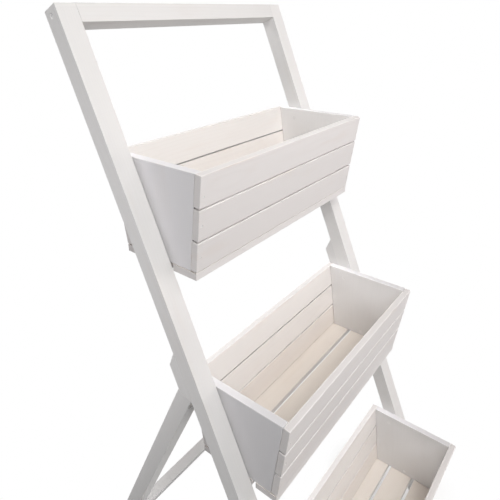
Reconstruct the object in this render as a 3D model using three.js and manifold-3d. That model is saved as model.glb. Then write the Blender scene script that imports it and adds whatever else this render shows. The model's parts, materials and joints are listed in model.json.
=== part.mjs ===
// A ladder plant stand in painted timber. Millimetres, +Z up, +Y towards the back.
// The origin is on the floor, at the centre of the stand's footprint.
import * as THREE from "three";
import { mergeVertices } from "three/addons/utils/BufferGeometryUtils.js";
import Module from "manifold-3d";

const wasm = await Module();
wasm.setup();

const rad = THREE.MathUtils.degToRad;

// Overall size and stance
const overallWidth = 560;
const overallHeight = 1300;
const ladderLean = rad(23);
const legLean = rad(25);

// Frame timber
const stileWidth = 35;
const stileDepth = 32;
const topRailHeight = 29;
const legWidth = 34;
const legDepth = 32;
const rearRailHeight = 45;
const rearRailDepth = 27;
const rearRailDrop = 648;

// Planter boxes
const boxCount = 3;
const boxPitch = 406.4;
const firstBoxDrop = 243;
const boxForward = 43.3;
const boxRise = 1.7;
const wallSlope = rad(7.6);
const endThickness = 15;
const boardThickness = 13;
const slatWidth = 53;
const slatGap = 3;
const floorBoardWidths = [52, 54, 44];
const floorBoardGap = 8;
const turnedFloorIndex = 1;
const slatsPerWall = 3;
const endTopWidth = 185.4;

// Hinges and leg stops
const hingePinDrop = 664;
const knuckleRadius = 3;
const leafThickness = 1.5;
const leafWidth = 20;
const hingeLength = 30;
const knuckleCount = 3;
const pinHeadRadius = 2.4;
const pinHeadThickness = 1;
const leafHoleRadius = 1.8;
const leafHoleDrop = 13;
const leafHoleSpacing = 15;
const legAbovePin = 4;
const stopThickness = 22;
const stopLength = 94;

// Screws that hold the boxes to the stiles
const screwLength = 34;
const screwRadius = 2;
const screwHeadRadius = 4;
const screwHeadDepth = 2.4;
const screwTipLength = 6;
const screwTipRadius = 0.5;
const screwDepthInStile = 17;
const screwDrops = [14, 160];

// Fit and finish
const clearance = 0.3;
const cutOverrun = 1.2;
const arris = 0.8;
const roundSides = 16;

// What follows from them
const halfWidth = overallWidth / 2;
const stileLength = overallHeight / Math.cos(ladderLean);
const innerHalfWidth = halfWidth - stileWidth;
const boxHalfLength = innerHalfWidth - clearance;
const wallHeight = slatsPerWall * slatWidth + (slatsPerWall - 1) * slatGap;
const slatFoot = wallHeight * Math.cos(wallSlope) + boardThickness * Math.sin(wallSlope);
const floorTop = -slatFoot - clearance;
const pinStandOff = knuckleRadius + clearance;
const pinRadius = knuckleRadius - leafThickness - clearance;
const openAngle = ladderLean + legLean;
const pinHeight = stileLength - hingePinDrop;
const pinDepth = stileDepth + pinStandOff;

const white = new THREE.MeshStandardMaterial({ color: 0xe6e1dc, roughness: 0.55 });
const shadedWhite = new THREE.MeshStandardMaterial({ color: 0xddd9d6, roughness: 0.6 });
const zinc = new THREE.MeshStandardMaterial({ color: 0x8b8a86, roughness: 0.35, metalness: 1 });

// The point of the ladder that is s up the stile and d behind its front face, as [y, z].
function ladderPoint(s, d) {
  const y = s * Math.sin(ladderLean) + d * Math.cos(ladderLean);
  const z = s * Math.cos(ladderLean) - d * Math.sin(ladderLean);
  return [y, z];
}

// A prism along X with its outline in Y and Z, its arrises chamfered.
function prism(outline, width, chamfer = arris) {
  const shape = new THREE.Shape(outline.map(([y, z]) => new THREE.Vector2(y, z)));
  const geometry = new THREE.ExtrudeGeometry(shape, {
    depth: width - 2 * chamfer,
    bevelEnabled: chamfer > 0,
    bevelThickness: chamfer,
    bevelSize: chamfer,
    bevelOffset: -chamfer,
    bevelSegments: 1,
  });
  geometry.translate(0, 0, chamfer - width / 2);
  const turn = new THREE.Matrix4().makeBasis(
    new THREE.Vector3(0, 1, 0),
    new THREE.Vector3(0, 0, 1),
    new THREE.Vector3(1, 0, 0),
  );
  return geometry.applyMatrix4(turn);
}

// A round bar along X from x0 to x1.
function barX(radius, x0, x1) {
  const geometry = new THREE.CylinderGeometry(radius, radius, x1 - x0, roundSides);
  return geometry.rotateZ(-Math.PI / 2).translate((x0 + x1) / 2, 0, 0);
}

function rectangle(y0, y1, z0, z1) {
  return [
    [y0, z0],
    [y1, z0],
    [y1, z1],
    [y0, z1],
  ];
}

// A closed three.js geometry as a solid that can be joined and cut.
function solid(geometry) {
  const bare = geometry.clone();
  bare.deleteAttribute("normal");
  bare.deleteAttribute("uv");
  const merged = mergeVertices(bare, 1e-4);
  const mesh = new wasm.Mesh({
    numProp: 3,
    vertProperties: merged.attributes.position.array,
    triVerts: new Uint32Array(merged.index.array),
  });
  return new wasm.Manifold(mesh);
}

function geometryOf(made) {
  const mesh = made.getMesh();
  const geometry = new THREE.BufferGeometry();
  geometry.setAttribute("position", new THREE.BufferAttribute(mesh.vertProperties, 3));
  geometry.setIndex(new THREE.BufferAttribute(mesh.triVerts, 1));
  return geometry;
}

function cut(geometry, tools) {
  return geometryOf(tools.reduce((body, tool) => body.subtract(solid(tool)), solid(geometry)));
}

function piece(name, geometry, material, x = 0, y = 0, z = 0) {
  const mesh = new THREE.Mesh(geometry, material);
  mesh.name = name;
  mesh.position.set(x, y, z);
  return mesh;
}

// A countersunk wood screw along +X, its head's flat top at x = 0.
// Grown by a clearance, it is the hole that the screw sits in.
function screwGeometry(grow = 0) {
  const headOuter = screwHeadRadius + grow;
  const shank = screwRadius + grow;
  const tipStart = screwLength - screwTipLength;
  const mouth = grow > 0 ? -cutOverrun : 0;
  const profile = [
    [0, screwLength + grow],
    [screwTipRadius, screwLength + grow],
    [shank, tipStart + grow],
    [shank, screwHeadDepth],
    [headOuter, grow],
    [headOuter, mouth],
    [0, mouth],
  ];
  const points = profile.map(([r, along]) => new THREE.Vector2(r, -along));
  return new THREE.LatheGeometry(points, roundSides).rotateZ(Math.PI / 2);
}

// Where the screws of one box go, in the box's own frame, as [y, z].
function screwPlaces() {
  return screwDrops.map((drop) => {
    const [y, z] = ladderPoint(-drop, screwDepthInStile);
    return [y + boxForward, z - boxRise];
  });
}

function placedScrew(side, grow = 0) {
  const head = boxHalfLength - endThickness;
  const geometry = screwGeometry(grow);
  if (side < 0) geometry.rotateY(Math.PI);
  return geometry.translate(side * head, 0, 0);
}

// One wall's slats, from the top down. side is -1 for the front wall and 1 for the back wall.
function addSlats(box, boxName, wallName, side) {
  const wall = new THREE.Group();
  wall.position.set(0, (side * endTopWidth) / 2, 0);
  wall.rotation.x = side < 0 ? wallSlope : -wallSlope;
  const y0 = side < 0 ? -boardThickness : clearance;
  for (let i = 0; i < slatsPerWall; i++) {
    const top = -i * (slatWidth + slatGap);
    const outline = rectangle(y0, y0 + boardThickness - clearance, top - slatWidth, top);
    wall.add(piece(`${boxName}_${wallName}_slat_${i + 1}`, prism(outline, 2 * boxHalfLength), white));
  }
  box.add(wall);
}

// The floor boards, from the front to the back. The middle box has its narrow board in front.
function addFloor(box, boxName, index) {
  const widths = index === turnedFloorIndex ? floorBoardWidths.toReversed() : floorBoardWidths;
  const gaps = (widths.length - 1) * floorBoardGap;
  let front = -(widths.reduce((sum, width) => sum + width) + gaps) / 2;
  widths.forEach((width, i) => {
    const outline = rectangle(front, front + width, floorTop - boardThickness, floorTop);
    box.add(piece(`${boxName}_floor_board_${i + 1}`, prism(outline, 2 * boxHalfLength), white));
    front += width + floorBoardGap;
  });
}

function addEnd(box, boxName, sideName, side) {
  const topHalf = endTopWidth / 2;
  const bottomHalf = topHalf - slatFoot * Math.tan(wallSlope);
  const outline = [
    [-bottomHalf, -slatFoot],
    [bottomHalf, -slatFoot],
    [topHalf, 0],
    [-topHalf, 0],
  ];
  const x = side * (boxHalfLength - endThickness / 2);
  const panel = prism(outline, endThickness).translate(x, 0, 0);
  const holes = screwPlaces().map(([y, z]) => placedScrew(side, clearance).translate(0, y, z));
  box.add(piece(`${boxName}_${sideName}_end`, cut(panel, holes), shadedWhite));
  screwPlaces().forEach(([y, z], i) => {
    const name = `${boxName}_${sideName}_screw_${i + 1}`;
    box.add(piece(name, placedScrew(side), zinc, 0, y, z));
  });
}

// How far up the ladder the top of each box meets the front of the stile.
function boxHeight(index) {
  return stileLength - firstBoxDrop - index * boxPitch;
}

function planterBox(index, boxName) {
  const box = new THREE.Group();
  const [y, z] = ladderPoint(boxHeight(index), 0);
  box.position.set(0, y - boxForward, z + boxRise);
  addSlats(box, boxName, "front", -1);
  addSlats(box, boxName, "back", 1);
  addFloor(box, boxName, index);
  addEnd(box, boxName, "left", -1);
  addEnd(box, boxName, "right", 1);
  return box;
}

// A stile in the ladder's frame: y is the depth behind its front face, z the way up from the floor.
function stile(side) {
  const outline = [
    [0, 0],
    [stileDepth, stileDepth * Math.tan(ladderLean)],
    [stileDepth, stileLength],
    [0, stileLength],
  ];
  const holes = [];
  for (let index = 0; index < boxCount; index++) {
    for (const drop of screwDrops) {
      const hole = placedScrew(side, clearance).rotateX(ladderLean);
      holes.push(hole.translate(0, screwDepthInStile, boxHeight(index) - drop));
    }
  }
  const x = side * (halfWidth - stileWidth / 2);
  return cut(prism(outline, stileWidth).translate(x, 0, 0), holes);
}

// The block behind the stile that the end of the leg stops against, in the ladder's frame.
function legStop() {
  const back = stileDepth + clearance;
  const outer = back + stopThickness;
  const cutAngle = Math.tan(openAngle);
  const reach = legAbovePin + clearance;
  const foot = pinHeight + (reach + (back - pinDepth) * Math.sin(openAngle)) / Math.cos(openAngle);
  const top = foot + stopLength;
  const outline = [
    [back, foot],
    [outer, foot + stopThickness * cutAngle],
    [outer, top - stopThickness],
    [back, top],
  ];
  return prism(outline, stileWidth);
}

// A hinge leaf about a pin on the X axis. It lies on the side that "facing" gives: -1 against
// the stile in front of the pin, 1 against the leg behind it. It owns the knuckles that "owned" lists.
function hingeLeaf(facing, owned) {
  const step = hingeLength / knuckleCount;
  const inner = facing * (knuckleRadius - leafThickness);
  const outer = facing * knuckleRadius;
  const [y0, y1] = [Math.min(inner, outer), Math.max(inner, outer)];
  const plateTop = -knuckleRadius - clearance;
  let leaf = solid(prism(rectangle(y0, y1, -leafWidth, plateTop), hingeLength, 0));
  for (const index of owned) {
    const x0 = -hingeLength / 2 + index * step + (index > 0 ? clearance / 2 : 0);
    const last = index === knuckleCount - 1;
    const x1 = -hingeLength / 2 + (index + 1) * step - (last ? 0 : clearance / 2);
    const neck = prism(rectangle(y0, y1, plateTop - leafThickness, 0), x1 - x0, 0);
    leaf = leaf.add(solid(neck.translate((x0 + x1) / 2, 0, 0)));
    leaf = leaf.add(solid(barX(knuckleRadius, x0, x1)));
  }
  leaf = leaf.subtract(solid(barX(pinRadius + clearance, -hingeLength, hingeLength)));
  const holeLength = 2 * (knuckleRadius + cutOverrun);
  for (const x of [-leafHoleSpacing / 2, leafHoleSpacing / 2]) {
    const hole = new THREE.CylinderGeometry(leafHoleRadius, leafHoleRadius, holeLength, roundSides);
    leaf = leaf.subtract(solid(hole.translate(x, 0, -leafHoleDrop)));
  }
  return geometryOf(leaf);
}

function hingePin() {
  const half = hingeLength / 2 + clearance;
  const body = solid(barX(pinRadius, -half - pinHeadThickness / 2, half + pinHeadThickness / 2));
  const heads = [-1, 1].map((side) => {
    const near = side * half;
    const far = side * (half + pinHeadThickness);
    return solid(barX(pinHeadRadius, Math.min(near, far), Math.max(near, far)));
  });
  return geometryOf(heads.reduce((made, head) => made.add(head), body));
}

const sides = [
  ["left", -1],
  ["right", 1],
];
const hingeX = halfWidth - stileWidth / 2;

function ladderFrame() {
  const ladder = new THREE.Group();
  ladder.rotation.x = -ladderLean;
  for (const [sideName, side] of sides) {
    ladder.add(piece(`${sideName}_stile`, stile(side), white));
    ladder.add(piece(`${sideName}_leg_stop`, legStop(), white, side * hingeX));
    const leaf = hingeLeaf(-1, [0, 2]);
    ladder.add(piece(`${sideName}_hinge_stile_leaf`, leaf, zinc, side * hingeX, pinDepth, pinHeight));
    ladder.add(piece(`${sideName}_hinge_pin`, hingePin(), zinc, side * hingeX, pinDepth, pinHeight));
  }
  const railOutline = rectangle(0, stileDepth, stileLength - topRailHeight, stileLength);
  ladder.add(piece("top_rail", prism(railOutline, 2 * boxHalfLength), white));
  return ladder;
}

// A leg in the leg frame's own frame: the pin is its origin, z runs up the leg.
function leg() {
  const front = pinStandOff;
  const back = front + legDepth;
  const pinAboveFloor = ladderPoint(pinHeight, pinDepth)[1];
  const footAt = (y) => -(pinAboveFloor + y * Math.sin(legLean)) / Math.cos(legLean);
  const outline = [
    [front, footAt(front)],
    [back, footAt(back)],
    [back, legAbovePin],
    [front, legAbovePin],
  ];
  return prism(outline, legWidth);
}

function legFrame() {
  const frame = new THREE.Group();
  frame.position.set(0, ...ladderPoint(pinHeight, pinDepth));
  frame.rotation.x = legLean;
  for (const [sideName, side] of sides) {
    frame.add(piece(`${sideName}_leg`, leg(), white, side * (halfWidth - legWidth / 2)));
    frame.add(piece(`${sideName}_hinge_leg_leaf`, hingeLeaf(1, [1]), zinc, side * hingeX));
  }
  const railFront = pinStandOff + (legDepth - rearRailDepth) / 2;
  const railOutline = rectangle(
    railFront,
    railFront + rearRailDepth,
    -rearRailDrop - rearRailHeight,
    -rearRailDrop,
  );
  const railLength = overallWidth - 2 * legWidth - 2 * clearance;
  frame.add(piece("rear_rail", prism(railOutline, railLength), white));
  return frame;
}

const stand = new THREE.Group();
stand.add(ladderFrame());
stand.add(legFrame());
["top_box", "middle_box", "bottom_box"].forEach((boxName, index) => {
  stand.add(planterBox(index, boxName));
});

// The footprint's middle, from the front wall of the bottom box to the heels of the legs.
const [bottomBoxY] = ladderPoint(boxHeight(boxCount - 1), 0);
const frontReach = bottomBoxY - boxForward - endTopWidth / 2 - boardThickness * Math.cos(wallSlope);
const [pinY, pinZ] = ladderPoint(pinHeight, pinDepth);
const heel = pinStandOff + legDepth;
const backReach = pinY + heel / Math.cos(legLean) + pinZ * Math.tan(legLean);
stand.position.y = -(frontReach + backReach) / 2;

export default stand;
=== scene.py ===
"""A plant ladder stand in painted timber: a leaning ladder, three slatted boxes and a folding leg frame."""
import json
import math
import random

import bmesh
import bpy
from bpy.props import FloatProperty, FloatVectorProperty, IntProperty, PointerProperty
from mathutils import Matrix, Vector


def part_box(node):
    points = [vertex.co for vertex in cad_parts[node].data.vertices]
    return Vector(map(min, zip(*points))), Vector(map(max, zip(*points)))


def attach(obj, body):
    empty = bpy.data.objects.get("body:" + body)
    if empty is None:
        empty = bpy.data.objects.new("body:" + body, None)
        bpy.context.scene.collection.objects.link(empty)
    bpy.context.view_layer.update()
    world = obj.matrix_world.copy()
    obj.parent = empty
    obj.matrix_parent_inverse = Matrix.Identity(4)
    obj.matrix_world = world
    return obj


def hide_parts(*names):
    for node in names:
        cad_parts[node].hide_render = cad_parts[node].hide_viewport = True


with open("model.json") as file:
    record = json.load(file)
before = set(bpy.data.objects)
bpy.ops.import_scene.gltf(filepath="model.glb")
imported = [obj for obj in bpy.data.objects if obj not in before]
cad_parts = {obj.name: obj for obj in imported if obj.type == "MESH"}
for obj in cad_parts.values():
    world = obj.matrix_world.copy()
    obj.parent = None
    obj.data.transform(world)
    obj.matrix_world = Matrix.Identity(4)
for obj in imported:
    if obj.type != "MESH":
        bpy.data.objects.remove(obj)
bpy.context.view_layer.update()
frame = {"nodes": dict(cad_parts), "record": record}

bl_info = {
    "name": "Plant Ladder Stand",
    "version": (1, 0, 0),
    "blender": (4, 5, 0),
    "location": "View3D > Sidebar > Plant Stand",
    "description": "Builds a folding plant ladder in painted timber, with its screws, nails and hinges",
    "category": "Object",
}

MM = 0.001
BOXES = ("top_box", "middle_box", "bottom_box")
BOARDS = (1, 2, 3)

# Which way along X each side lies, and which way along Y each wall.
SIDES = {"left": -1, "right": 1}
WALLS = {"front": -1, "back": 1}

RECORD = frame["record"]
BODY_OF = {node: body for body, nodes in RECORD["behaviour"]["bodies"].items() for node in nodes}
SLOT_OF = {part["node"]: part["material_slot"] for part in RECORD["subparts"]}
HINGE_PIN = Vector(RECORD["behaviour"]["joints"][0]["pos_m"])


# ------------------------------ what a user can change


class TimberSettings(bpy.types.PropertyGroup):
    """How the boards lie and how their edges are finished."""

    ladder_lean: FloatProperty(
        name="Ladder lean",
        description="How far the stiles lean back from upright",
        default=math.radians(23),
        subtype="ANGLE",
    )
    leg_lean: FloatProperty(
        name="Leg lean",
        description="How far the rear legs lean forward from upright",
        default=math.radians(25),
        subtype="ANGLE",
    )
    wall_slope: FloatProperty(
        name="Wall slope",
        description="How far the walls of the boxes flare outwards",
        default=math.radians(7.6),
        subtype="ANGLE",
    )
    board_arris: FloatProperty(
        name="Board arris",
        description="Radius of the sanded edges of the boxes' walls and of the legs",
        default=1.4 * MM,
        unit="LENGTH",
    )
    frame_arris: FloatProperty(
        name="Frame arris",
        description="Radius of the edges of the stiles, rails, stops and floor boards",
        default=0.4 * MM,
        unit="LENGTH",
    )
    arris_segments: IntProperty(
        name="Arris segments",
        description="Facets round a sanded edge",
        default=4,
    )
    play: FloatProperty(
        name="Play",
        description="How far a slat strays from its place when it is nailed on",
        default=0.35 * MM,
        unit="LENGTH",
    )


class PaintSettings(bpy.types.PropertyGroup):
    """The colours of the paint, and of what shows through it."""

    frame_colour: FloatVectorProperty(
        name="Frame paint",
        description="Paint of the stiles, rails, legs and stops",
        default=(0.80, 0.787, 0.778),
        subtype="COLOR",
    )
    board_colour: FloatVectorProperty(
        name="Board paint",
        description="Paint of the slats and floor boards",
        default=(0.81, 0.78, 0.768),
        subtype="COLOR",
    )
    # Painted light: a lighter, creamier copy of the board paint for the inner faces, for the light inside
    # the boxes.
    inside_lit_colour: FloatVectorProperty(
        name="Inside paint",
        description="Paint of the walls' inner faces",
        default=(0.84, 0.812, 0.79),
        subtype="COLOR",
    )
    # Painted light: a creamier copy of the board paint for the floor boards' upper faces, for the light in
    # the boxes.
    floor_colour: FloatVectorProperty(
        name="Floor board paint",
        description="Paint of the floor boards' upper faces, which is creamier",
        default=(0.86, 0.81, 0.757),
        subtype="COLOR",
    )
    # Painted light: a bluish copy of the end paint for the panels' outer faces, for the cool light falling
    # on them.
    end_cool_lit_colour: FloatVectorProperty(
        name="End paint",
        description="Paint of the end panels' outer faces",
        default=(0.85, 0.836, 0.85),
        subtype="COLOR",
    )
    end_inside_colour: FloatVectorProperty(
        name="End inside paint",
        description="Paint of the end panels' inner faces",
        default=(0.85, 0.84, 0.84),
        subtype="COLOR",
    )
    timber_colour: FloatVectorProperty(
        name="Bare timber",
        description="Softwood that shows faintly through the paint",
        default=(0.66, 0.50, 0.37),
        subtype="COLOR",
    )
    # Painted shade: raw timber drawn dark, which also stands for the shade deep in the gaps.
    gap_timber_shade_colour: FloatVectorProperty(
        name="Timber in the gaps",
        description="Raw softwood where the paint didn't reach, between the boards",
        default=(0.42, 0.34, 0.27),
        subtype="COLOR",
    )
    steel_colour: FloatVectorProperty(
        name="Zinc",
        description="Zinc plate of the hinges and of the screws that aren't painted over",
        default=(0.36, 0.35, 0.33),
        subtype="COLOR",
    )


class FixingSettings(bpy.types.PropertyGroup):
    """The screws and nails."""

    screw_head: FloatProperty(
        name="Screw head radius",
        description="Radius of the countersunk heads",
        default=4.0 * MM,
        unit="LENGTH",
    )
    screw_shank: FloatProperty(
        name="Screw radius",
        description="Radius over the threads",
        default=2.0 * MM,
        unit="LENGTH",
    )
    screw_sink: FloatProperty(
        name="Screw depth",
        description="How far a head lies below the timber",
        default=0.5 * MM,
        unit="LENGTH",
    )
    nail_head: FloatProperty(
        name="Nail head radius",
        description="Radius of the nail heads",
        default=1.9 * MM,
        unit="LENGTH",
    )
    nail_sink: FloatProperty(
        name="Nail depth",
        description="How far a nail head lies below the timber",
        default=0.35 * MM,
        unit="LENGTH",
    )
    hinge_screw_head: FloatProperty(
        name="Hinge screw head radius",
        description="Radius of the round heads of the hinge screws",
        default=2.8 * MM,
        unit="LENGTH",
    )


class StageSettings(bpy.types.PropertyGroup):
    """The camera and the light."""

    camera_place: FloatVectorProperty(
        name="Camera",
        description="Where the camera stands",
        default=(-0.6749, -0.4562, 1.2848),
        subtype="TRANSLATION",
    )
    camera_aim: FloatVectorProperty(
        name="Aim",
        description="The point that the camera's axis goes through",
        default=(0.0430, 0.1175, 0.8907),
        subtype="TRANSLATION",
    )
    camera_roll: FloatProperty(
        name="Roll",
        description="How far the camera is turned about its axis",
        default=math.radians(-0.555),
        subtype="ANGLE",
    )
    focal_length: FloatProperty(
        name="Focal length",
        description="Focal length on a sensor 36 mm wide, in millimetres",
        default=33.24,
        unit="CAMERA",
    )
    rise: FloatProperty(
        name="Shift",
        description="Upright shift of the frame, as a part of its width",
        default=-0.0801,
    )
    floor_colour: FloatVectorProperty(
        name="Floor",
        description="Colour of the studio floor",
        default=(0.5, 0.5, 0.5),
        subtype="COLOR",
    )


# ------------------------------ shaders


class Socket:
    """A shader socket that takes part in Python sums: each operator adds its Math node."""

    def __init__(self, shader, link):
        self.shader = shader
        self.link = link

    def math(self, operation, first, second):
        return self.shader.node("Math", {"operation": operation}, {0: first, 1: second})

    def __add__(self, other):
        return self.math("ADD", self, other)

    def __sub__(self, other):
        return self.math("SUBTRACT", self, other)

    def __rsub__(self, other):
        return self.math("SUBTRACT", other, self)

    def __mul__(self, other):
        return self.math("MULTIPLY", self, other)

    def __pow__(self, other):
        return self.math("POWER", self, other)

    __radd__ = __add__
    __rmul__ = __mul__


class Shader:
    """The empty node tree of a material or world, and the calls that fill it."""

    def __init__(self, owner):
        owner.use_nodes = True
        self.tree = owner.node_tree
        self.tree.nodes.clear()

    def node(self, kind, settings=None, values=None, output=0):
        """Adds a node, sets it, then feeds its inputs, and gives back one output."""
        made = self.tree.nodes.new("ShaderNode" + kind)
        for name, value in (settings or {}).items():
            setattr(made, name, value)
        for name, value in (values or {}).items():
            if isinstance(value, Socket):
                self.tree.links.new(value.link, made.inputs[name])
            else:
                made.inputs[name].default_value = value
        return Socket(self, made.outputs[output]) if made.outputs else None

    def attribute(self, name, output="Fac"):
        return self.node("Attribute", {"attribute_name": name}, output=output)

    def stretched(self, vector, scale):
        return self.node("VectorMath", {"operation": "MULTIPLY"}, {0: vector, 1: scale})

    def noise(self, vector, scale=1.0, detail=2.0, roughness=0.5):
        values = {"Vector": vector, "Scale": scale, "Detail": detail, "Roughness": roughness}
        return self.node("TexNoise", {}, values)

    def distance(self, place, point):
        return self.node("VectorMath", {"operation": "DISTANCE"}, {0: place, 1: point}, output="Value")

    def diffuse(self, colour):
        return self.node("BsdfDiffuse", {}, {"Color": colour})

    def ease(self, value, start, end, low=0.0, high=1.0):
        """Goes smoothly from low to high as the value goes from start to end."""
        values = {"Value": value, "From Min": start, "From Max": end, "To Min": low, "To Max": high}
        return self.node("MapRange", {"interpolation_type": "SMOOTHSTEP"}, values)

    def mixed(self, first, second, factor):
        """A colour between two colours."""
        settings = {"data_type": "RGBA", "clamp_factor": True}
        return self.node("Mix", settings, {0: factor, 6: first, 7: second}, output=2)

    def shaded(self, colour, factor):
        return self.node("VectorMath", {"operation": "SCALE"}, {0: colour, "Scale": factor})

    def bump(self, height, depth):
        return self.node("Bump", {}, {"Height": height, "Distance": depth, "Strength": 1.0})

    def surface(self, values):
        """Ends the tree with the standard surface."""
        closure = self.node("BsdfPrincipled", {}, values)
        self.node("OutputMaterial", {}, {"Surface": closure})


def opaque(colour):
    return (*colour, 1.0)


def painted_timber(name, colour, inner_colour, show_through, relief, end_shade=0.0):
    """Thin matt paint over softwood, with the grain along the board.

    Faces that look into a box have the inner colour; where it differs from the outer colour, the two are lit
    and shaded copies of one paint, as painted light. End shade is how much darker the ends are, where the
    grain soaks the paint up.
    """
    settings = bpy.context.scene.stand_paint
    material = bpy.data.materials.new(name)
    shader = Shader(material)
    grain = shader.attribute("grain", "Vector")
    tone = shader.attribute("tone")
    wear = shader.attribute("wear")
    end_grain = shader.attribute("end_grain")
    warm_shade = shader.attribute("warm_shade")
    raw_and_shade = shader.attribute("raw_and_shade")
    through = shader.node("Math", {"operation": "ABSOLUTE"}, {0: shader.attribute("through")})

    fibre = shader.noise(shader.stretched(grain, (14, 900, 900)), detail=3.0, roughness=0.6)
    streak = shader.noise(shader.stretched(grain, (5, 130, 130)), detail=2.0)
    wander = shader.noise(shader.stretched(grain, (3.5, 9, 9)), detail=1.0)
    patch = shader.noise(shader.stretched(grain, (7, 28, 28)), detail=2.0, roughness=0.6)
    speck = shader.noise(shader.stretched(grain, (160, 420, 420)), detail=1.0)

    # The growth rings lie round a pith outside the board.
    across = shader.stretched(grain, (0, 1, 1))
    from_pith = shader.node("VectorMath", {"operation": "LENGTH"}, {0: across}, output="Value")
    ring_pitch = 4.2 * MM
    ring_wander = 22 * MM
    turns = (from_pith + wander * ring_wander) * (math.tau / ring_pitch)
    late_wood = (shader.node("Math", {"operation": "SINE"}, {0: turns}) * 0.5 + 0.5) ** 5

    thin = shader.ease(patch, 0.52, 0.78) * show_through
    thin = thin + late_wood * (0.14 * show_through) + (streak - 0.5) * (0.5 * show_through)
    worn = wear * shader.ease(fibre + patch, 1.05, 1.25) * 0.2
    # Painted shade: the warm shade mixes timber colour into the inner faces, more of it lower in a box.
    amount = thin + worn + warm_shade
    shade = tone * (1.0 - late_wood * 0.01 - (fibre - 0.5) * 0.03) - end_grain * end_shade
    shade = shade - shader.ease(speck, 0.76, 0.84) * 0.04
    # Painted light: faces that look into a box take the lit copy of the paint.
    coat = shader.mixed(opaque(colour), opaque(inner_colour), shader.attribute("inside"))
    paint = shader.mixed(coat, opaque(settings.timber_colour), amount)

    # Raw timber shows deep in the gaps, drawn darker there as painted shade,
    # and is darkest near a board's ends, as a painted shadow.
    raw_shade_mask = raw_and_shade * shader.ease(through + patch * 0.2, 0.7, 0.95, 1.0, 0.0)
    at_end = shader.ease(shader.attribute("reach"), 0.935, 0.945)
    # Painted shadow: the near-black colour at the ends of the gaps.
    painted_gap_shadow = (0.06, 0.05, 0.045, 1.0)
    timber = shader.mixed(opaque(settings.gap_timber_shade_colour), painted_gap_shadow, at_end)
    mix = shader.mixed(paint, timber, raw_shade_mask)

    height = fibre * 0.4 + late_wood * 0.3 + streak * 0.5 + speck * 0.15
    shader.surface(
        {
            "Base Color": shader.shaded(mix, shade),
            "Roughness": 0.5 + streak * 0.12 + end_grain * 0.1,
            "Normal": shader.bump(height, relief),
        }
    )
    return material


def zinc_plate(name):
    """Dull zinc plate with cloudy spangles and rubbed spots."""
    colour = bpy.context.scene.stand_paint.steel_colour
    material = bpy.data.materials.new(name)
    shader = Shader(material)
    place = shader.node("TexCoord", output="Object")
    cloud = shader.noise(place, 900.0, detail=3.0)
    scratch = shader.noise(shader.stretched(place, (3000, 400, 3000)), detail=2.0)
    tarnish = shader.ease(cloud, 0.45, 0.7)
    shader.surface(
        {
            "Base Color": shader.mixed(opaque(colour), (0.22, 0.20, 0.18, 1.0), tarnish * 0.6),
            "Metallic": 0.95 - tarnish * 0.25,
            "Roughness": 0.34 + cloud * 0.25,
            "Normal": shader.bump(scratch, 0.02 * MM),
        }
    )
    return material


def painted_head(name, rust):
    """The head of a fixing that the paint went over, worn through in spots."""
    settings = bpy.context.scene.stand_paint
    material = bpy.data.materials.new(name)
    shader = Shader(material)
    place = shader.node("TexCoord", output="Object")
    cloud = shader.noise(place, 700.0, detail=3.0, roughness=0.7)
    bare = shader.ease(cloud, 0.5, 0.62) * rust
    steel = (0.30, 0.27, 0.245, 1.0)
    shader.surface(
        {
            "Base Color": shader.mixed(opaque(settings.end_inside_colour), steel, bare),
            "Metallic": bare * 0.6,
            "Roughness": 0.5 - bare * 0.1,
            "Normal": shader.bump(cloud, 0.05 * MM),
        }
    )
    return material


def material_named(name):
    """The shared material of that name, made when it is first asked for."""
    if name in bpy.data.materials:
        return bpy.data.materials[name]
    paint = bpy.context.scene.stand_paint
    outside, inside, floor = paint.board_colour, paint.inside_lit_colour, paint.floor_colour
    end, end_inside = paint.end_cool_lit_colour, paint.end_inside_colour
    makers = {
        "frame_paint": lambda: painted_timber(name, paint.frame_colour, paint.frame_colour, 0.05, 0.10 * MM),
        "board_paint": lambda: painted_timber(name, outside, inside, 0.08, 0.09 * MM, end_shade=0.09),
        "floor_paint": lambda: painted_timber(name, outside, floor, 0.07, 0.09 * MM, end_shade=0.14),
        "end_paint": lambda: painted_timber(name, end, end_inside, 0.04, 0.06 * MM),
        "zinc_plate": lambda: zinc_plate(name),
        "painted_screw": lambda: painted_head(name, 0.08),
        "painted_nail": lambda: painted_head(name, 0.5),
    }
    return makers[name]()


PAINT_OF_SLOT = {"frame_timber": "frame_paint", "board_timber": "board_paint", "end_timber": "end_paint"}


def paint_of(node):
    return "floor_paint" if "floor_board" in node else PAINT_OF_SLOT[SLOT_OF[node]]


# ------------------------------ pieces


def lean(angle):
    """Axes turned about X, so that their Z leans forward by the angle."""
    return Matrix.Rotation(angle, 3, "X")


def extent(node, turn):
    """The lowest and highest corner of a CAD node in turned axes."""
    unturn = turn.transposed()
    corners = [unturn @ vertex.co for vertex in frame["nodes"][node].data.vertices]
    return Vector(map(min, zip(*corners))), Vector(map(max, zip(*corners)))


def mesh_of(name, bm):
    mesh = bpy.data.meshes.new(name)
    bm.to_mesh(mesh)
    bm.free()
    return mesh


def added(name, data):
    """A new object in the scene, made of a mesh, a light or a camera."""
    made = bpy.data.objects.new(name, data)
    bpy.context.scene.collection.objects.link(made)
    return made


def new_piece(name, bm, body, material, nodes=()):
    """Turns a bmesh into a piece of the stand."""
    piece = added(name, mesh_of(name, bm))
    piece.data.materials.append(material_named(material))
    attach(piece, body)
    if nodes:
        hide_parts(*nodes)
    return piece


def clipped(outline, point, normal):
    """What is left of a convex outline behind a line, given by a point of it and its normal."""
    tolerance = 0.01 * MM
    left = []
    for index, corner in enumerate(outline):
        before = outline[index - 1]
        height = (corner - point).dot(normal)
        height_before = (before - point).dot(normal)
        if min(height, height_before) < -tolerance and max(height, height_before) > tolerance:
            left.append(before.lerp(corner, height_before / (height_before - height)))
        if height <= tolerance:
            left.append(corner)
    return left


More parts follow.
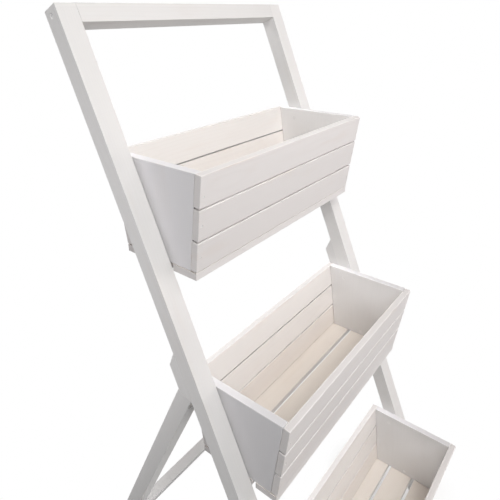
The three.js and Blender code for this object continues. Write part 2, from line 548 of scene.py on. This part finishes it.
def board_form(low, high, turn, arris, cuts=(), stray=(0.0, 0.0), sharp_ends=False):
    """A board that is square in the turned axes, with sanded arrises.

    Each cut, a point and a normal in the turned axes, takes off what lies on its normal's side.
    Stray is how far the board is lifted and how far it is turned in its own face.
    Sharp ends are left and right ends that meet other timbers, and aren't sanded.
    """
    settings = bpy.context.scene.stand_timber
    corners = ((low.y, low.z), (high.y, low.z), (high.y, high.z), (low.y, high.z))
    outline = [Vector((low.x, y, z)) for y, z in corners]
    for point, normal in cuts:
        outline = clipped(outline, point, normal)
    bm = bmesh.new()
    section = bm.faces.new([bm.verts.new(corner) for corner in outline])
    extruded = bmesh.ops.extrude_face_region(bm, geom=[section])["geom"]
    far_end = [item for item in extruded if isinstance(item, bmesh.types.BMVert)]
    bmesh.ops.translate(bm, vec=(high.x - low.x, 0, 0), verts=far_end)
    bmesh.ops.recalc_face_normals(bm, faces=bm.faces)
    crossing = [edge for edge in bm.edges if edge.verts[0].co.x != edge.verts[1].co.x]
    lift, skew = stray
    about_middle = Matrix.Translation((low + high) / -2)
    bmesh.ops.rotate(bm, matrix=Matrix.Rotation(skew, 3, "Y"), verts=bm.verts, space=about_middle)
    bmesh.ops.translate(bm, vec=(0, 0, lift), verts=bm.verts)
    bmesh.ops.rotate(bm, matrix=turn, verts=bm.verts)
    rounded = bmesh.ops.bevel(
        bm,
        geom=crossing if sharp_ends else bm.edges[:],
        affect="EDGES",
        offset=arris,
        segments=settings.arris_segments,
        profile=0.5,
        material=-1,
    )
    for face in rounded["faces"]:
        face.smooth = True
    return bm


def store(mesh, name, values, domain="POINT"):
    """Keeps one number, or one vector, for each point or face of a mesh."""
    if isinstance(values[0], Vector):
        data = mesh.attributes.new(name, "FLOAT_VECTOR", domain).data
        data.foreach_set("vector", [part for value in values for part in value])
    else:
        data = mesh.attributes.new(name, "FLOAT", domain).data
        data.foreach_set("value", values)


def mark_timber(piece, turn, along, dice, raw_and_shade, inner, warmest_shade, tone, painted_shade_toward):
    """Stores where each point lies in its own board, how worn it is, and how light the paint is there.

    Along is the turned axis that the grain runs on.
    The raw amounts say how bare a face is, and so how much painted gap shade it takes, for the directions,
    in the turned axes, that such faces look in.
    Inner is the direction that the face inside a box looks in.
    The painted shade direction is the way in which the paint is drawn darker, as painted shade, as long
    as its part of the tone that it takes.
    """
    mesh = piece.data
    axes = [turn.col[(along + step) % 3] for step in range(3)]
    centre = sum((Vector(corner) for corner in piece.bound_box), Vector()) / 8
    places = [Vector([(vertex.co - centre).dot(axis) for axis in axes]) for vertex in mesh.vertices]
    half_sizes = [max(abs(place[step]) for place in places) for step in range(3)]
    thickness = half_sizes.index(min(half_sizes))
    pith_distance = dice.uniform(45, 120) * MM
    pith_angle = dice.uniform(0, math.tau)
    start = Vector(
        (dice.uniform(0, 9), pith_distance * math.cos(pith_angle), pith_distance * math.sin(pith_angle))
    )
    store(mesh, "grain", [start + place for place in places])
    store(mesh, "through", [place[thickness] / half_sizes[thickness] for place in places])
    store(mesh, "reach", [abs(place.x) / half_sizes[0] for place in places])
    on_flat = {v for face in mesh.polygons if not face.use_smooth for v in face.vertices}
    store(mesh, "wear", [float(v.index not in on_flat) for v in mesh.vertices])
    lightness = tone * dice.gauss(1.0, 0.012)
    # Painted shade: the tone falls off along the painted shade direction.
    shade_axis = turn @ Vector(painted_shade_toward)
    slopes = [(vertex.co - centre).dot(shade_axis) for vertex in mesh.vertices]
    steepest = max(map(abs, slopes)) or 1.0
    fades = [shade_axis.length * (1 + slope / steepest) / 2 for slope in slopes]
    # Painted shade: inner faces lower in a box are drawn darker and warmer.
    own_warm_shade = dice.uniform(0.3, 1.0) * warmest_shade
    raw_normals = [(turn @ Vector(side), amount) for side, amount in raw_and_shade.items()]
    flat_ends = [float(abs(face.normal.dot(axes[0])) > 0.7) for face in mesh.polygons]
    inner_normal = turn @ Vector(inner)
    bare = [0.0] * len(mesh.polygons)
    for face in mesh.polygons:
        amounts = [amount for normal, amount in raw_normals if face.normal.dot(normal) > 0.9]
        bare[face.index] = 0.0 if face.use_smooth else max(amounts, default=0.0)
    inside = [float(face.normal.dot(inner_normal) > 0.6) for face in mesh.polygons]
    store(mesh, "tone", [lightness * (1 - fade) for fade in fades])
    store(mesh, "inside", inside, "FACE")
    store(mesh, "warm_shade", [own_warm_shade * part for part in inside], "FACE")
    store(mesh, "end_grain", flat_ends, "FACE")
    store(mesh, "raw_and_shade", bare, "FACE")


def applied(piece):
    """Makes what a piece's modifiers show its own mesh."""
    depsgraph = bpy.context.evaluated_depsgraph_get()
    mesh = bpy.data.meshes.new_from_object(piece.evaluated_get(depsgraph))
    mesh.name = piece.name
    piece.modifiers.clear()
    piece.data = mesh


def gathered(mesh, places):
    """A bmesh of copies of one mesh, each moved by its matrix."""
    bm = bmesh.new()
    for place in places:
        copy = mesh.copy()
        copy.transform(place)
        bm.from_mesh(copy)
        bpy.data.meshes.remove(copy)
    return bm


def carved(piece, tool, places):
    """Cuts copies of a tool out of a piece, each moved by its matrix."""
    cutter = added("cutter", mesh_of("cutter", gathered(tool, places)))
    modifier = piece.modifiers.new("holes", "BOOLEAN")
    modifier.operation = "DIFFERENCE"
    modifier.solver = "EXACT"
    modifier.object = cutter
    applied(piece)
    bpy.data.objects.remove(cutter)


def turned_form(profile, steps):
    """A form turned on the X axis, from (along, radius) points that start and end on the axis."""
    bm = bmesh.new()
    points = [bm.verts.new((along, radius, 0)) for along, radius in profile]
    for first, second in zip(points, points[1:]):
        bm.edges.new((first, second))
    bmesh.ops.spin(
        bm,
        geom=bm.verts[:] + bm.edges[:],
        cent=(0, 0, 0),
        axis=(1, 0, 0),
        angle=math.tau,
        steps=steps,
        use_merge=True,
    )
    bmesh.ops.remove_doubles(bm, verts=bm.verts, dist=0.001 * MM)
    bmesh.ops.recalc_face_normals(bm, faces=bm.faces)
    return bm


def placed(point, inward, sink=0.0, twist=0.0):
    """The matrix that puts a form made along +X at a point, so that it goes inward.

    Sink is how far in it starts, and twist is how far it is turned about its own axis.
    """
    inward = Vector(inward).normalized()
    turn = inward.to_track_quat("X", "Z").to_matrix().to_4x4()
    return Matrix.Translation(Vector(point) + inward * sink) @ turn @ Matrix.Rotation(twist, 4, "X")


def driver_slot(size, depth):
    """One of the two tapered slots that cross in a screw's head. They are cut one after the other."""
    bm = bmesh.new()
    made = bmesh.ops.create_cube(bm, size=1)["verts"]
    bmesh.ops.scale(bm, vec=(2 * depth, size, size * 0.22), verts=made)
    bottom = [v for v in made if v.co.x > 0]
    bmesh.ops.scale(bm, vec=(1, 0.45, 0.6), verts=bottom)
    return mesh_of("slot", bm)


# How high a round head stands.
ROUND_HEAD_RISE = 0.9 * MM


def screw_mesh(name, head, shank, length, recess_depth, round_head=False):
    """A cross-headed wood screw along +X, its head's top at 0, with a ringed thread and a point."""
    head_depth = head - shank
    pitch = 1.6 * MM
    core = 0.7 * shank
    if round_head:
        arc = [math.radians(a) for a in (90, 60, 30)]
        profile = [(ROUND_HEAD_RISE * (1 - math.sin(a)), head * math.cos(a)) for a in arc]
        profile += [(ROUND_HEAD_RISE, head), (ROUND_HEAD_RISE, shank)]
    else:
        profile = [(0, 0), (0, head - 0.2 * MM), (0.2 * MM, head), (head_depth, shank)]
    thread_start = profile[-1][0] + 3 * MM
    thread_end = length - 3.5 * MM
    profile.append((thread_start, shank))
    for turn in range(int((thread_end - thread_start) / pitch)):
        at = thread_start + turn * pitch
        profile += [(at + 0.35 * pitch, core), (at + 0.75 * pitch, core), (at + pitch, shank)]
    profile += [(profile[-1][0] + 0.5 * pitch, core), (length, 0)]
    screw = added(name, mesh_of(name, turned_form(profile, 24)))
    slot = driver_slot(1.15 * head, recess_depth)
    for angle in (0, math.pi / 2):
        carved(screw, slot, [Matrix.Rotation(angle, 4, "X")])
    made = screw.data
    bpy.data.objects.remove(screw)
    return made


def screw_hole(clearance=0.3 * MM):
    """What a countersunk screw's hole takes out of the timber: a mouth, a cone and a bore."""
    settings = bpy.context.scene.stand_fixings
    mouth = settings.screw_head + clearance
    bore = settings.screw_shank + clearance
    sink = settings.screw_sink + 0.1 * MM
    above = 2 * MM
    reach = 12 * MM
    profile = [(-above, 0), (-above, mouth), (sink, mouth)]
    profile += [(sink + mouth - bore, bore), (reach, bore), (reach, 0)]
    return mesh_of("screw_hole", turned_form(profile, 32))


def nail_hole():
    settings = bpy.context.scene.stand_fixings
    radius = settings.nail_head + 0.15 * MM
    depth = settings.nail_sink + 0.5 * MM
    profile = [(-1 * MM, 0), (-1 * MM, radius), (depth, radius), (depth, 0)]
    return mesh_of("nail_hole", turned_form(profile, 16))


def nail_mesh():
    """A wire nail along +X, its slightly domed head's top at 0."""
    head = bpy.context.scene.stand_fixings.nail_head
    shank = 0.8 * MM
    point_start, length = 33 * MM, 35 * MM
    profile = [(0, 0), (0.05 * MM, 0.5 * head), (0.15 * MM, 0.85 * head), (0.3 * MM, head), (0.8 * MM, head)]
    profile += [(1.2 * MM, shank), (point_start, shank), (length, 0)]
    bm = turned_form(profile, 16)
    for face in bm.faces:
        face.smooth = True
    return mesh_of("nail", bm)


def painted_board(
    node,
    turn,
    along,
    dice,
    holes=(),
    raw_and_shade=(),
    inner=(0, 0, 0),
    warmest_shade=0.0,
    tone=1.0,
    painted_shade_toward=(0, 0, 0),
    inset=(0, 0),
    **form,
):
    """The board that stands for a CAD node: its form, its holes and its marks.

    The inset is how much shorter it is than the node at its left and at its right.
    """
    settings = bpy.context.scene.stand_timber
    fine = (SLOT_OF[node] == "frame_timber" and not node.endswith("_leg")) or "floor_board" in node
    arris = settings.frame_arris if fine else settings.board_arris
    low, high = extent(node, turn)
    low.x += inset[0]
    high.x -= inset[1]
    bm = board_form(low, high, turn, arris, **form)
    piece = new_piece(node + "_board", bm, BODY_OF[node], paint_of(node), (node,))
    for tool, places in holes:
        carved(piece, tool, places)
    mark_timber(piece, turn, along, dice, dict(raw_and_shade), inner, warmest_shade, tone, painted_shade_toward)


ALONG_X, ALONG_Z = 0, 2
UP, DOWN, FORWARD, REARWARD = (0, 0, 1), (0, 0, -1), (0, -1, 0), (0, 1, 0)

# How bare the upper and lower edges of each wall's slats are, which also paints shade into the gaps.
GAP_BARE_AND_SHADE = {
    "front": {1: {UP: 0.14, DOWN: 0.1}, 2: {UP: 0.1, DOWN: 0.1}, 3: {UP: 0.1}},
    "back": {1: {UP: 0.14, DOWN: 0.5}, 2: {UP: 0.5, DOWN: 0.1}, 3: {UP: 0.1}},
}

# How light the paint is, where a step makes up for light that the lamps don't match.
STILE_TONES = {"left": 1.0, "right": 1.04}
END_TONES = {
    "top_box": {"left": 1.02, "right": 1.06},
    "middle_box": {"left": 0.94, "right": 1.0},
    "bottom_box": {"left": 0.97, "right": 1.0},
}


def floor_cut(turn):
    """The cut that stands a leaning timber flat on the floor."""
    return Vector(), turn.transposed() @ Vector((0, 0, -1))


def top_rail_screw_places():
    """One screw through each stile into the top rail's end."""
    turn = lean(-bpy.context.scene.stand_timber.ladder_lean)
    sink = bpy.context.scene.stand_fixings.screw_sink
    below_top = 13 * MM
    places = {}
    for side, sign in SIDES.items():
        low, high = extent(side + "_stile", turn)
        x = high.x if sign > 0 else low.x
        point = turn @ Vector((x, (low.y + high.y) / 2, high.z - below_top))
        places[side] = [placed(point, (-sign, 0, 0), sink, twist=0.35)]
    return places


def rear_rail_screw_places():
    """Two screws through each leg into the rear rail's end."""
    turn = lean(bpy.context.scene.stand_timber.leg_lean)
    sink = bpy.context.scene.stand_fixings.screw_sink
    rail_low, rail_high = extent("rear_rail", turn)
    middle = (rail_low + rail_high) / 2
    rows = (-0.24, 0.24)
    places = {}
    for side, sign in SIDES.items():
        low, high = extent(side + "_leg", turn)
        x = high.x if sign > 0 else low.x
        points = [Vector((x, middle.y, middle.z + row * (rail_high.z - rail_low.z))) for row in rows]
        places[side] = [placed(turn @ p, (-sign, 0, 0), sink, 0.3 + 0.7 * i) for i, p in enumerate(points)]
    return places


def leg_stop_screw_places():
    """Two screws through each leg stop into the back of the stile."""
    turn = lean(-bpy.context.scene.stand_timber.ladder_lean)
    sink = bpy.context.scene.stand_fixings.screw_sink
    inward = turn @ Vector((0, -1, 0))
    spots = (-11 * MM, 13 * MM)
    places = {}
    for side in SIDES:
        low, high = extent(side + "_leg_stop", turn)
        middle = (low + high) / 2
        points = [Vector((middle.x, high.y, middle.z + spot)) for spot in spots]
        places[side] = [placed(turn @ p, inward, sink, 0.5 + 0.6 * i) for i, p in enumerate(points)]
    return places


def box_screw_places(box, side):
    """The screws that hold a box to a stile, at the middles of their CAD nodes."""
    sign = SIDES[side]
    sink = bpy.context.scene.stand_fixings.screw_sink
    places = []
    for number in (1, 2):
        low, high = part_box(f"{box}_{side}_screw_{number}")
        x = low.x if sign > 0 else high.x
        point = Vector((x, (low.y + high.y) / 2, (low.z + high.z) / 2))
        places.append(placed(point, (sign, 0, 0), sink, twist=0.4 * number))
    return places


def hinge_screw_places(side):
    """Two screws in each leaf of a hinge: those into the stile, then those into the leg."""
    settings = bpy.context.scene.stand_timber
    leaf_face = 1.5 * MM
    below_pin = 13 * MM
    spacing = 15 * MM
    low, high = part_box(side + "_hinge_leg_leaf")
    middle = (low.x + high.x) / 2
    places = []
    for facing, angle in ((-1, -settings.ladder_lean), (1, settings.leg_lean)):
        turn = lean(angle)
        inward = turn @ Vector((0, facing, 0))
        own = []
        for step in (-0.5, 0.5):
            offset = turn @ Vector((0, facing * leaf_face, -below_pin))
            point = Vector((middle + step * spacing, HINGE_PIN.y, HINGE_PIN.z)) + offset
            own.append(placed(point, inward, -ROUND_HEAD_RISE, 0.5 + step))
        places.append(own)
    return places


def slat_turn(wall):
    return lean(-WALLS[wall] * bpy.context.scene.stand_timber.wall_slope)


def slat_nail_places(box, wall, number):
    """One nail at each end of a slat, into the middle of the end panel's edge."""
    turn = slat_turn(wall)
    low, high = extent(f"{box}_{wall}_slat_{number}", turn)
    outer = low.y if wall == "front" else high.y
    height = {1: 0.36, 2: 0.5, 3: 0.5}[number]
    inward = turn @ Vector((0, -WALLS[wall], 0))
    places = []
    for side in SIDES:
        panel_low, panel_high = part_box(f"{box}_{side}_end")
        point = Vector(((panel_low.x + panel_high.x) / 2, outer, low.z + height * (high.z - low.z)))
        places.append(placed(turn @ point, inward, bpy.context.scene.stand_fixings.nail_sink))
    return places


def floor_nail_places(box, number):
    """One nail at each end of a floor board, from below."""
    low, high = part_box(f"{box}_floor_board_{number}")
    places = []
    for side in SIDES:
        panel_low, panel_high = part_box(f"{box}_{side}_end")
        point = Vector(((panel_low.x + panel_high.x) / 2, (low.y + high.y) / 2, low.z))
        places.append(placed(point, (0, 0, 1), bpy.context.scene.stand_fixings.nail_sink))
    return places


def hole_places(places):
    """The same places for the holes, which start at the timber's face and not at the sunk head."""
    sink = bpy.context.scene.stand_fixings.screw_sink
    return [place @ Matrix.Translation((-sink, 0, 0)) for place in places]


# ------------------------------ operators


class STAND_OT_stiles(bpy.types.Operator):
    """Makes the two stiles of the ladder"""

    bl_idname = "stand.stiles"
    bl_label = "Stiles"

    def execute(self, context):
        dice = random.Random(11)
        turn = lean(-context.scene.stand_timber.ladder_lean)
        tool = screw_hole()
        for side, places in top_rail_screw_places().items():
            holes = [(tool, hole_places(places))]
            tone = STILE_TONES[side]
            painted_board(side + "_stile", turn, ALONG_Z, dice, holes, tone=tone, cuts=[floor_cut(turn)])
        return {"FINISHED"}


class STAND_OT_top_rail(bpy.types.Operator):
    """Makes the rail between the tops of the stiles"""

    bl_idname = "stand.top_rail"
    bl_label = "Top Rail"

    def execute(self, context):
        turn = lean(-context.scene.stand_timber.ladder_lean)
        painted_board("top_rail", turn, ALONG_X, random.Random(12), sharp_ends=True)
        return {"FINISHED"}


class STAND_OT_leg_stops(bpy.types.Operator):
    """Makes the two blocks that the legs rest against when the stand is open"""

    bl_idname = "stand.leg_stops"
    bl_label = "Leg Stops"

    def execute(self, context):
        settings = context.scene.stand_timber
        dice = random.Random(13)
        turn = lean(-settings.ladder_lean)
        opening = settings.ladder_lean + settings.leg_lean
        setback = 0.3 * MM
        tool = screw_hole()
        for side, places in leg_stop_screw_places().items():
            low, high = extent(side + "_leg_stop", turn)
            foot = (low, Vector((0, math.sin(opening), -math.cos(opening))))
            top = (Vector((low.x, low.y, high.z)), Vector((0, 1, 1)))
            holes = [(tool, hole_places(places))]
            inset = (0.0, setback) if side == "left" else (setback, 0.0)
            painted_board(side + "_leg_stop", turn, ALONG_Z, dice, holes, inset=inset, cuts=[foot, top])
        return {"FINISHED"}


class STAND_OT_leg_frame(bpy.types.Operator):
    """Makes the rear legs and the rail between them"""

    bl_idname = "stand.leg_frame"
    bl_label = "Leg Frame"

    def execute(self, context):
        dice = random.Random(14)
        turn = lean(context.scene.stand_timber.leg_lean)
        # Painted shade: the legs' paint is drawn darker towards their front faces.
        painted_shade_toward = (0, -0.12, 0)
        tool = screw_hole()
        for side, places in rear_rail_screw_places().items():
            holes = [(tool, hole_places(places))]
            painted_board(side + "_leg", turn, ALONG_Z, dice, holes, painted_shade_toward=painted_shade_toward, cuts=[floor_cut(turn)])
        painted_board("rear_rail", turn, ALONG_X, dice, sharp_ends=True)
        return {"FINISHED"}


class STAND_OT_slats(bpy.types.Operator):
    """Makes the slats of the boxes' front and back walls"""

    bl_idname = "stand.slats"
    bl_label = "Slats"

    def execute(self, context):
        dice = random.Random(15)
        play = context.scene.stand_timber.play
        tool = nail_hole()
        sink = Matrix.Translation((-context.scene.stand_fixings.nail_sink, 0, 0))
        for box in BOXES:
            for wall in WALLS:
                for number in BOARDS:
                    node = f"{box}_{wall}_slat_{number}"
                    low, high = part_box(node)
                    length = high.x - low.x
                    lift = 0.0 if number == 1 else dice.uniform(-play, play)
                    stray = (lift, dice.uniform(-play, play) / length)
                    places = [place @ sink for place in slat_nail_places(box, wall, number)]
                    # Painted shade: the lower the slat, the darker and warmer its inner face.
                    painted_board(
                        node,
                        slat_turn(wall),
                        ALONG_X,
                        dice,
                        holes=[(tool, places)],
                        raw_and_shade=GAP_BARE_AND_SHADE[wall][number],
                        inner=(0, -WALLS[wall], 0),
                        warmest_shade=0.1 * (number - 1),
                        inset=(dice.uniform(0, 2 * play), dice.uniform(0, 2 * play)),
                        stray=stray,
                    )
        return {"FINISHED"}


class STAND_OT_floors(bpy.types.Operator):
    """Makes the floor boards of the boxes"""

    bl_idname = "stand.floors"
    bl_label = "Floor Boards"

    def execute(self, context):
        dice = random.Random(16)
        tool = nail_hole()
        sink = Matrix.Translation((-context.scene.stand_fixings.nail_sink, 0, 0))
        for box in BOXES:
            for number in BOARDS:
                places = [place @ sink for place in floor_nail_places(box, number)]
                holes = [(tool, places)]
                node = f"{box}_floor_board_{number}"
                # Painted shade: the floor boards' upper faces are drawn a little darker and warmer.
                painted_board(node, Matrix.Identity(3), ALONG_X, dice, holes, inner=UP, warmest_shade=0.08)
        return {"FINISHED"}


class STAND_OT_ends(bpy.types.Operator):
    """Makes the flared end panels of the boxes"""

    bl_idname = "stand.ends"
    bl_label = "End Panels"

    def execute(self, context):
        slope = context.scene.stand_timber.wall_slope
        setback = 0.4 * MM
        # Painted shade: each end panel's paint is drawn darker towards the front and the bottom.
        painted_shade_forward = {"left": -0.11, "right": -0.16}
        dice = random.Random(17)
        tool = screw_hole(clearance=0.1 * MM)
        for box in BOXES:
            for side in SIDES:
                node = f"{box}_{side}_end"
                low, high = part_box(node)
                cuts = []
                for sign, y in ((-1, low.y), (1, high.y)):
                    normal = Vector((0, sign * math.cos(slope), -math.sin(slope)))
                    cuts.append((Vector((0, y, high.z)), normal))
                holes = [(tool, hole_places(box_screw_places(box, side)))]
                inset = (setback, 0.0) if side == "left" else (0.0, setback)
                # Painted shade: the panels' edges under the slats are drawn as dark raw timber, seen at the
                # gaps' ends.
                painted_board(
                    node,
                    Matrix.Identity(3),
                    ALONG_Z,
                    dice,
                    holes,
                    raw_and_shade={FORWARD: 1.0, REARWARD: 1.0, DOWN: 1.0, UP: 0.08},
                    inner=(-SIDES[side], 0, 0),
                    tone=END_TONES[box][side],
                    painted_shade_toward=(0, painted_shade_forward[side], -0.09),
                    inset=inset,
                    cuts=cuts,
                )
        return {"FINISHED"}


class STAND_OT_screws(bpy.types.Operator):
    """Makes the countersunk screws of the boxes, rails and leg stops"""

    bl_idname = "stand.screws"
    bl_label = "Screws"

    def execute(self, context):
        settings = context.scene.stand_fixings
        head, shank = settings.screw_head, settings.screw_shank
        short_length, long_length = 33.5 * MM, 60 * MM
        recess, filled_recess = 1.7 * MM, 0.15 * MM
        filled = screw_mesh("painted_screw_34", head, shank, short_length, filled_recess)
        short = screw_mesh("screw_34", head, shank, short_length, recess)
        long = screw_mesh("screw_60", head, shank, long_length, recess)
        for box in BOXES:
            for side in SIDES:
                for number, place in enumerate(box_screw_places(box, side), 1):
                    node = f"{box}_{side}_screw_{number}"
                    name = node + "_cross_head"
                    bm = gathered(filled, [place])
                    new_piece(name, bm, BODY_OF[node], "painted_screw", (node,))
        groups = {
            "top_rail": (top_rail_screw_places(), long, "ladder", "painted_screw"),
            "leg_stop": (leg_stop_screw_places(), short, "ladder", "zinc_plate"),
            "rear_rail": (rear_rail_screw_places(), long, "rear_legs", "zinc_plate"),
        }
        for name, (places, mesh, body, material) in groups.items():
            for side, own in places.items():
                bm = gathered(mesh, own)
                new_piece(f"{side}_{name}_screws", bm, body, material)
        return {"FINISHED"}


class STAND_OT_nails(bpy.types.Operator):
    """Makes the nails of the slats and floor boards"""

    bl_idname = "stand.nails"
    bl_label = "Nails"

    def execute(self, context):
        nail = nail_mesh()
        for box in BOXES:
            for wall in WALLS:
                places = [p for number in BOARDS for p in slat_nail_places(box, wall, number)]
                bm = gathered(nail, places)
                new_piece(f"{box}_{wall}_nails", bm, "ladder", "painted_nail")
            places = [p for number in BOARDS for p in floor_nail_places(box, number)]
            new_piece(f"{box}_floor_nails", gathered(nail, places), "ladder", "painted_nail")
        return {"FINISHED"}


class STAND_OT_hinges(bpy.types.Operator):
    """Finishes the hinges' leaves and pins, and makes their round-headed screws"""

    bl_idname = "stand.hinges"
    bl_label = "Hinges"

    def execute(self, context):
        head = context.scene.stand_fixings.hinge_screw_head
        shank, length, recess = 1.5 * MM, 14 * MM, 1.2 * MM
        screw = screw_mesh("hinge_screw", head, shank, length, recess, round_head=True)
        for side in SIDES:
            for part in ("hinge_stile_leaf", "hinge_leg_leaf", "hinge_pin"):
                node = frame["nodes"][f"{side}_{part}"]
                node.data.materials.clear()
                node.data.materials.append(material_named("zinc_plate"))
            stile_places, leg_places = hinge_screw_places(side)
            for name, places, body in (("stile", stile_places, "ladder"), ("leg", leg_places, "rear_legs")):
                bm = gathered(screw, places)
                new_piece(f"{side}_hinge_{name}_screws", bm, body, "zinc_plate")
        return {"FINISHED"}


def softbox(name, place, aim, size, power, colour):
    """A rectangular area light that shines from a place towards a point."""
    data = bpy.data.lights.new(name, "AREA")
    data.shape = "RECTANGLE"
    data.size, data.size_y = size
    data.energy = power
    data.color = colour
    lamp = added(name, data)
    lamp.location = place
    lamp.visible_camera = False
    lamp.rotation_euler = (Vector(aim) - Vector(place)).to_track_quat("-Z", "Y").to_euler()


def seen_directly(shader):
    """1 where the camera, a reflection or glass sees the surface, 0 where it only lights others."""
    seen = shader.node("LightPath", output="Is Camera Ray")
    for name in ("Is Glossy Ray", "Is Transmission Ray"):
        seen = seen.math("MAXIMUM", seen, shader.node("LightPath", output=name))
    return seen


def studio_floor(settings):
    """A pale floor that looks white, and keeps its real shadow in a spot under and beside the bottom box.

    From the photo's camera, the gaps of the bottom box's floor show that spot.
    """
    spot = (0.31, -0.19, 0.0)
    spot_radius, spot_edge = 0.09, 0.2
    white = (1.0, 1.0, 1.0, 1.0)
    material = bpy.data.materials.new("studio_floor")
    shader = Shader(material)
    place = shader.node("TexCoord", output="Object")
    shadow = shader.ease(shader.distance(place, spot), spot_radius, spot_edge, 1.0, 0.0)
    mottle = shader.noise(place, 3.0, detail=2.0)
    matt = shader.diffuse(shader.shaded(settings.floor_colour, 1.0 - mottle * 0.02))
    bright = shader.diffuse(white)
    glowing = shader.node("Emission", {}, {"Color": white, "Strength": 1.0})
    seen = shader.node("MixShader", {}, {0: shadow, 1: glowing, 2: bright})
    both = shader.node("MixShader", {}, {0: seen_directly(shader), 1: matt, 2: seen})
    shader.node("OutputMaterial", {}, {"Surface": both})
    return material


class STAND_OT_stage(bpy.types.Operator):
    """Makes the floor, the lights and the camera"""

    bl_idname = "stand.stage"
    bl_label = "Studio"

    def execute(self, context):
        settings = context.scene.stand_stage
        self.floor(settings)
        self.lights(context)
        self.camera(context, settings)
        return {"FINISHED"}

    def floor(self, settings):
        reach = 6.0
        bm = bmesh.new()
        bmesh.ops.create_grid(bm, x_segments=1, y_segments=1, size=reach)
        floor = added("floor", mesh_of("floor", bm))
        floor.data.materials.append(studio_floor(settings))

    def lights(self, context):
        centre = (0.0, -0.05, 0.75)
        softbox("key", (-1.13, -2.01, 2.32), centre, (0.9, 0.9), 22.0, (0.97, 0.98, 1.0))
        softbox("top", (-0.72, -1.29, 3.14), centre, (0.9, 0.9), 30.0, (1.0, 0.99, 0.95))
        softbox("rear_top", (0.0, 2.21, 2.32), centre, (0.9, 0.9), 22.0, (1.0, 0.99, 1.0))
        softbox("back", (0.0, 4.5, 3.2), centre, (2.5, 2.0), 145.0, (0.98, 1.0, 1.0))
        softbox("right", (1.96, 1.08, 2.32), centre, (0.9, 0.9), 7.0, (1.0, 0.95, 0.9))
        softbox("left", (-0.95, 0.3, 0.98), (0.0, 0.0, 0.9), (0.4, 0.4), 1.9, (1.0, 0.98, 1.0))
        softbox("low", (0.75, -1.34, 0.98), centre, (0.7, 0.7), 5.4, (1.0, 0.95, 0.93))
        softbox("near", (0.1, -0.9, 1.7), (0.1, 0.0, 0.7), (0.5, 0.5), 3.4, (1.0, 0.95, 0.97))
        world = bpy.data.worlds.new("daylight")
        context.scene.world = world
        shader = Shader(world)
        seen = seen_directly(shader)
        sky = shader.node("Background", {}, {"Color": (1.0, 1.0, 1.0, 1.0), "Strength": seen})
        shader.node("OutputWorld", {}, {"Surface": sky})
        context.scene.view_settings.view_transform = "Standard"

    def camera(self, context, settings):
        data = bpy.data.cameras.new("camera")
        data.sensor_width = 36.0
        data.lens = settings.focal_length
        data.shift_y = settings.rise
        data.clip_start = 0.01
        camera = added("camera", data)
        place = Vector(settings.camera_place)
        aim = (Vector(settings.camera_aim) - place).to_track_quat("-Z", "Y").to_matrix()
        turn = aim @ Matrix.Rotation(settings.camera_roll, 3, "Z")
        camera.matrix_world = Matrix.Translation(place) @ turn.to_4x4()
        context.scene.camera = camera


PIECE_OPERATORS = (
    STAND_OT_stiles,
    STAND_OT_top_rail,
    STAND_OT_leg_stops,
    STAND_OT_leg_frame,
    STAND_OT_slats,
    STAND_OT_floors,
    STAND_OT_ends,
    STAND_OT_screws,
    STAND_OT_nails,
    STAND_OT_hinges,
    STAND_OT_stage,
)


class STAND_PT_pieces(bpy.types.Panel):
    """Lists the pieces of the stand and their settings"""

    bl_idname = "STAND_PT_pieces"
    bl_label = "Plant Ladder Stand"
    bl_space_type = "VIEW_3D"
    bl_region_type = "UI"
    bl_category = "Plant Stand"

    def draw(self, context):
        for operator in PIECE_OPERATORS:
            self.layout.operator(operator.bl_idname)
        for settings in SETTINGS:
            group = getattr(context.scene, settings)
            for name in group.__annotations__:
                self.layout.prop(group, name)


SETTINGS = {
    "stand_timber": TimberSettings,
    "stand_paint": PaintSettings,
    "stand_fixings": FixingSettings,
    "stand_stage": StageSettings,
}


def register():
    for group in SETTINGS.values():
        bpy.utils.register_class(group)
    for name, group in SETTINGS.items():
        setattr(bpy.types.Scene, name, PointerProperty(type=group))
    for operator in PIECE_OPERATORS:
        bpy.utils.register_class(operator)
    bpy.utils.register_class(STAND_PT_pieces)


def unregister():
    bpy.utils.unregister_class(STAND_PT_pieces)
    for operator in reversed(PIECE_OPERATORS):
        bpy.utils.unregister_class(operator)
    for name in SETTINGS:
        delattr(bpy.types.Scene, name)
    for group in SETTINGS.values():
        bpy.utils.unregister_class(group)


def main():
    register()
    bpy.ops.stand.stage()
    bpy.ops.stand.stiles()
    bpy.ops.stand.top_rail()
    bpy.ops.stand.leg_stops()
    bpy.ops.stand.leg_frame()
    bpy.ops.stand.slats()
    bpy.ops.stand.floors()
    bpy.ops.stand.ends()
    bpy.ops.stand.screws()
    bpy.ops.stand.nails()
    bpy.ops.stand.hinges()


if __name__ == "__main__":
    main()
